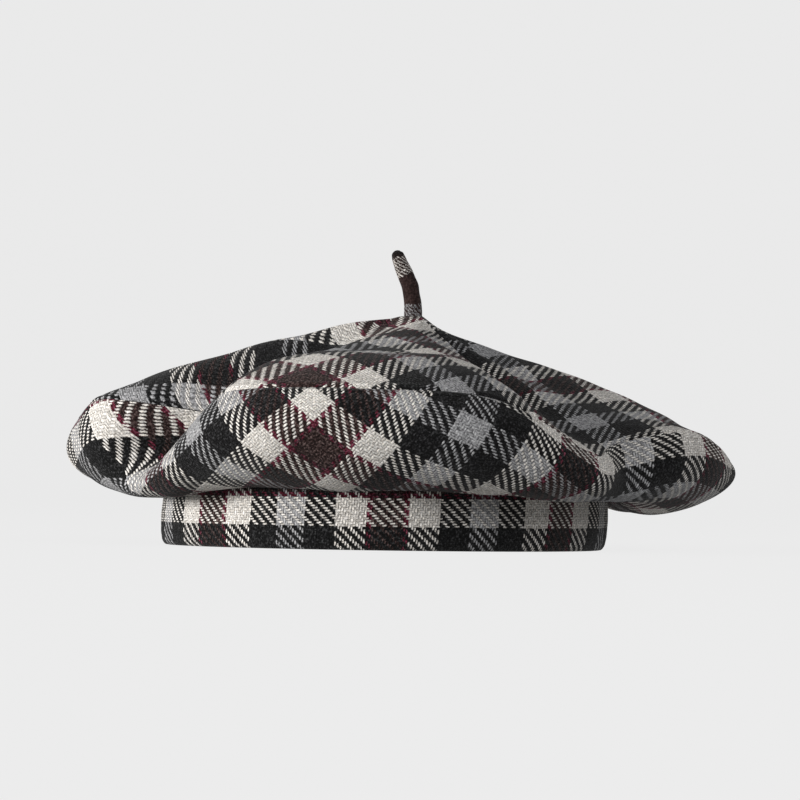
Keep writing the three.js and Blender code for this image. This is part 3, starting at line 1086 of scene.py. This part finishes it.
@dataclass
class Headband:
    """The upright band: one strip of cloth, doubled over at the hem and joined at the back."""

    cloth: PlaidTwill = PlaidTwill()
    centre_x: float = -5.4
    lean_x: float = -1.1  # how far the hem stands to the side of the top edge
    height: float = 24.0
    sides: int = 480
    outline: tuple[Station, ...] = (
        Station(87.5, 23.7),
        Station(87.2, 12.0),
        Station(87.2, 1.2),
        Station(87.6, 0.0),
        Station(88.8, 0.0),
        Station(90.0, 1.6),
        Station(90.6, 5.0),
        Station(90.8, 12.0),
        Station(90.5, 23.7),
    )
    outline_step: float = 1.5  # between the points that the outline is divided by
    corner_cuts: int = 2
    lay: ClothLay = ClothLay(8.0, 64.0, 1.02, 0.93, 0.0)
    front_azimuth: float = 0.85  # azimuth of the middle of the brown stripe
    lay_height: float = 9.1  # height of the edge between the black and the white band
    lay_radius: float = 90.6
    unevenness: Waves = Waves(0.25, 5, 18, 60)
    wave_radius: float = 90.0  # of the cylinder that the unevenness is taken from
    outer_from: float = 88.2  # radius where the outer face starts
    outer_blend: float = 1.5  # over which its unevenness and the join set in
    even_at_hem: float = 3.0  # above the hem, over which they set in
    even_at_top: float = 4.0  # below the top edge, over which the unevenness dies out
    join_depth: float = 0.6
    join_width: float = 1.0

    def profile(self) -> Array:
        """The band's outline with rounded corners.

        Formula: the outline is divided by even steps and its corners are cut twice, where each edge gives its
        points at one quarter and three quarters. Every second point stays, starting from the highest one.

        Returns:
            Radii and heights, shape (points, 2).
        """
        stations = np.array(self.outline)
        steps = []
        for start, end in zip(stations, np.roll(stations, -1, axis=0)):
            count = max(1, int(np.hypot(*(end - start)) / self.outline_step))
            steps.append(start + (end - start) * np.arange(count)[:, None] / count)
        outline = np.concatenate(steps)
        for _ in range(self.corner_cuts):
            after = np.roll(outline, -1, axis=0)
            quarters = [0.75 * outline + 0.25 * after, 0.25 * outline + 0.75 * after]
            outline = np.stack(quarters, axis=1).reshape(-1, 2)
        outline = outline[::2]
        return np.roll(outline, -int(np.argmax(outline[:, 1])), axis=0)

    def build(self) -> bpy.types.Object:
        """Sweeps the outline round the band's axis.

        Formula: the outline is turned about the axis, which leans from the hem to the top edge. The outer
        face gets a gentle unevenness and the groove of the join at the back.

        Returns:
            The piece.
        """
        outline = self.profile()
        azimuth = np.linspace(-180, 180, self.sides, endpoint=False)
        turn = np.radians(azimuth)[:, None]
        radius, height = outline[None, :, 0], outline[None, :, 1]
        above_hem = np.clip(height / self.even_at_hem, 0, 1)
        out = np.clip((radius - self.outer_from) / self.outer_blend, 0, 1) * above_hem
        wave_x, wave_y = self.wave_radius * np.sin(turn), -self.wave_radius * np.cos(turn)
        around = np.stack(np.broadcast_arrays(wave_x, wave_y, height), axis=-1)
        fading = np.clip((self.height - height) / self.even_at_top, 0, 1)
        uneven = soft_waves(around, self.unevenness) * out * fading
        back = (180 - np.abs(azimuth))[:, None] * math.pi / 180 * self.lay_radius
        radius = radius + uneven - out * self.join_depth * np.exp(-((back / self.join_width) ** 2))
        lean = self.centre_x + self.lean_x * (1 - height / self.height)
        x = lean + radius * np.sin(turn)
        points = np.stack(np.broadcast_arrays(x, -radius * np.cos(turn), height), axis=-1)
        across = np.radians(np.append(azimuth, 180.0)[:, None] - self.front_azimuth) * self.lay_radius
        across, up = np.broadcast_arrays(across, height - self.lay_height)
        return grid_object("headband_cloth", points, self.lay.threads(across, up), close_across=True)

    def dress(self) -> list[bpy.types.Object]:
        """Builds the band, gives it the cloth and fits it in the frame.

        Returns:
            The band.
        """
        piece = self.build()
        finish_piece(piece, Part.BAND, self.cloth.build("plaid_wool_band"))
        return [piece]


class Stem(NamedTuple):
    """A station of the stalk's bent centre line."""

    x: float
    z: float
    radius: float


@dataclass
class Stalk:
    """The stalk: a narrow strip of cloth rolled and sewn shut, standing in the middle of the top disc."""

    cloth: PlaidTwill = FeltedStrip()
    sides: int = 72
    rings: int = 110
    line: tuple[Stem, ...] = (
        Stem(4.3, 88.6, 3.2),
        Stem(4.3, 89.2, 3.6),
        Stem(4.3, 94.0, 3.6),
        Stem(4.2, 98.7, 3.55),
        Stem(3.7, 102.8, 3.5),
        Stem(2.65, 106.9, 3.45),
        Stem(0.75, 111.8, 3.35),
        Stem(-1.1, 115.9, 2.95),
        Stem(-2.1, 118.6, 2.6),
        Stem(-2.5, 120.2, 2.0),
        Stem(-2.6, 121.0, 0.9),
    )
    lay: ClothLay = ClothLay(25.0, 74.0, 0.46, 0.45, 0.0)
    lay_z: float = 99.1  # height of the lower edge of the brown band
    lay_radius: float = 3.5
    seam_azimuth: float = 150.0
    seam_depth: float = 0.35
    seam_width: float = 9.0  # degrees
    unevenness: Waves = Waves(0.09, 3, 4, 12)
    even_under: float = 3.0  # radius under which the stalk is even
    tip_rise: float = 0.15

    def build(self) -> bpy.types.Object:
        """Carries a round profile along the centre line.

        Formula: a smooth curve through the stations, by running length, gives the centre and the radius. Each
        ring is square to the curve, with a groove for the seam and a gentle unevenness.

        Returns:
            The piece.
        """
        rows = np.array(self.line)
        span = np.concatenate([[0], np.cumsum(np.hypot(*np.diff(rows[:, :2], axis=0).T))])
        place = np.linspace(0, span[-1], self.rings)
        line_x, line_z, line_radius = (self.smooth(span, column, place) for column in rows.T)
        centre = np.stack([line_x, np.zeros(self.rings), line_z], axis=1)
        ahead = unit(np.gradient(centre, place, axis=0))
        side = np.stack([ahead[:, 2], np.zeros(self.rings), -ahead[:, 0]], axis=1)
        azimuth = np.linspace(-180, 180, self.sides, endpoint=False)
        turn = np.radians(azimuth)[:, None, None]
        out = side[None] * np.sin(turn) + np.array([0.0, -1.0, 0.0]) * np.cos(turn)
        off = ((azimuth - self.seam_azimuth + 180) % 360 - 180)[:, None] / self.seam_width
        radius = line_radius[None] - self.seam_depth * np.exp(-(off**2))
        uneven = soft_waves(centre[None] + self.lay_radius * out, self.unevenness)
        radius = radius + uneven * (line_radius[None] > self.even_under)
        points = centre[None] + out * radius[..., None]
        across = np.radians(np.append(azimuth, 180.0))[:, None] * self.lay_radius
        root = np.interp(self.lay_z, line_z, place)
        across, up = np.broadcast_arrays(across, place[None] - root)
        threads = self.lay.threads(across, up)
        tip = centre[-1] + ahead[-1] * self.tip_rise
        return grid_object("stalk_cloth", points[:, ::-1], threads[:, ::-1], False, (tip, centre[0]))

    @staticmethod
    def smooth(at: Array, value: Array, where: Array) -> Array:
        """A smooth curve through values.

        Formula: cubic pieces whose slopes come from the neighbours on either side.

        Args:
            at: Where the values are, in rising order.
            value: The values.
            where: Where the curve is wanted.

        Returns:
            The curve's values.
        """
        slope = np.gradient(value, at)
        k = np.clip(np.searchsorted(at, where, side="right") - 1, 0, len(at) - 2)
        span = at[k + 1] - at[k]
        t = (where - at[k]) / span
        return sloped_cubic(value[k], value[k + 1], span * slope[k], span * slope[k + 1], t)

    def dress(self) -> list[bpy.types.Object]:
        """Builds the stalk, gives it its own fine strip of cloth and fits it in the frame.

        Returns:
            The stalk.
        """
        piece = self.build()
        finish_piece(piece, Part.STALK, self.cloth.build("plaid_strip"))
        return [piece]


# The studio, in metres


class SoftLight(NamedTuple):
    """A rectangular light: where it stands, how large it is, its strength and its colour."""

    name: str
    place: tuple[float, float, float]
    width: float
    height: float
    watts: float
    tint: tuple[float, float, float]


@dataclass
class Studio:
    """A pale seamless floor, soft lights and the camera at the photograph's angle."""

    camera_at: tuple[float, float, float] = (-0.00014, -1.60224, 0.026)
    camera_pitch: float = 1.217  # degrees above the level
    camera_roll: float = -0.84  # degrees
    camera_clip: tuple[float, float] = (0.05, 50.0)
    lens: float = 176.5  # millimetres
    sensor: float = 36.0  # millimetres
    floor_radius: float = 3.6  # of its flat part
    floor_bend: float = 1.2
    bend_points: int = 25
    backdrop_height: float = 5.0
    floor_sides: int = 96
    floor_colour: tuple[float, float, float] = (0.05, 0.05, 0.05)
    floor_glow: float = 0.806  # the paper is lit from within, so that it stays even
    sky_strength: float = 0.18
    lights: tuple[SoftLight, ...] = (
        SoftLight("key_light", (-2.2, -0.85, 0.33), 1.6, 0.62, 65.0, (1.0, 0.985, 0.965)),
        SoftLight("fill_light", (1.15, -1.85, 1.15), 1.7, 1.3, 19.0, (0.985, 0.985, 1.0)),
    )
    lights_aim: tuple[float, float, float] = (0.0, 0.0, 0.05)

    def build_paper(self) -> bpy.types.Material:
        """Makes the floor's paper, which glows evenly.

        Returns:
            The material.
        """
        sheet = NodeSheet("floor_paper")
        skin = sheet.add("ShaderNodeBsdfPrincipled")
        skin.inputs["Base Color"].default_value = (*self.floor_colour, 1.0)
        skin.inputs["Roughness"].default_value = 1.0
        skin.inputs["Specular IOR Level"].default_value = 0.0
        skin.inputs["Emission Color"].default_value = (1.0, 1.0, 1.0, 1.0)
        skin.inputs["Emission Strength"].default_value = self.floor_glow
        out = sheet.add("ShaderNodeOutputMaterial")
        sheet.feed(out.inputs["Surface"], skin.outputs[0])
        return sheet.material

    def build_floor(self) -> bpy.types.Object:
        """A round floor that curves up into a backdrop all round.

        Formula: outwards the floor is flat, then a quarter circle, then upright. This profile is turned
        about z.

        Returns:
            The floor.
        """
        bend = np.radians(np.linspace(0, 90, self.bend_points))
        out = self.floor_radius + self.floor_bend * np.append(np.sin(bend), 1.0)
        up = np.append(self.floor_bend * (1 - np.cos(bend)), self.backdrop_height)
        turn = np.radians(np.linspace(0, 360, self.floor_sides, endpoint=False))[:, None]
        grid = np.stack(np.broadcast_arrays(out * np.cos(turn), out * np.sin(turn), up), axis=-1)
        vertices = np.concatenate([grid.reshape(-1, 3), np.zeros((1, 3))])
        count = len(out)
        side, ring = np.meshgrid(np.arange(self.floor_sides), np.arange(count - 1), indexing="ij")
        here, beside = side * count + ring, (side + 1) % self.floor_sides * count + ring
        rim = np.stack([here, here + 1, beside + 1, beside], axis=-1).reshape(-1, 4)
        hub = np.full(self.floor_sides, len(vertices) - 1)
        fan = np.stack([hub, here[:, 0], beside[:, 0]], axis=1)
        mesh = bpy.data.meshes.new("floor")
        mesh.from_pydata(vertices.tolist(), [], fan.tolist() + rim.tolist())
        mesh.shade_smooth()
        mesh.materials.append(self.build_paper())
        floor = bpy.data.objects.new("floor", mesh)
        floor.visible_diffuse = False
        bpy.context.scene.collection.objects.link(floor)
        return floor

    def build_light(self, light: SoftLight) -> None:
        """Adds a soft rectangular light that faces the cap.

        Args:
            light: The light.
        """
        data = bpy.data.lights.new(light.name, "AREA")
        data.shape, data.size, data.size_y = "RECTANGLE", light.width, light.height
        data.energy, data.color = light.watts, light.tint
        lamp = bpy.data.objects.new(light.name, data)
        lamp.location = light.place
        towards = Vector(self.lights_aim) - Vector(light.place)
        lamp.rotation_euler = towards.to_track_quat("-Z", "Y").to_euler()
        bpy.context.scene.collection.objects.link(lamp)

    def build_camera(self) -> None:
        """Adds the camera and looks through it."""
        data = bpy.data.cameras.new("camera")
        data.lens, data.sensor_width = self.lens, self.sensor
        data.clip_start, data.clip_end = self.camera_clip
        camera = bpy.data.objects.new("camera", data)
        camera.location = self.camera_at
        camera.rotation_euler = (math.radians(90 + self.camera_pitch), math.radians(self.camera_roll), 0.0)
        bpy.context.scene.collection.objects.link(camera)
        bpy.context.scene.camera = camera

    def build(self) -> None:
        """Makes the floor, the lights, the sky and the camera."""
        scene = bpy.context.scene
        scene.view_settings.view_transform = "Standard"
        scene.view_settings.look = "None"
        self.build_floor()
        for light in self.lights:
            self.build_light(light)
        world = bpy.data.worlds.new("sky")
        world.use_nodes = True
        background = world.node_tree.nodes["Background"]
        background.inputs["Color"].default_value = (1.0, 1.0, 1.0, 1.0)
        background.inputs["Strength"].default_value = self.sky_strength
        scene.world = world
        self.build_camera()


def main() -> None:
    """Builds the studio and the cap's parts in order, and reports each piece."""
    logging.basicConfig(level=logging.INFO, format="%(name)s: %(message)s")
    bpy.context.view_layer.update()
    Studio().build()
    for builder in (Headband(), Crown(), Stalk()):
        for piece in builder.dress():
            LOG.info("%s: %d faces", piece.name, len(piece.data.polygons))


if __name__ == "__main__":
    main()
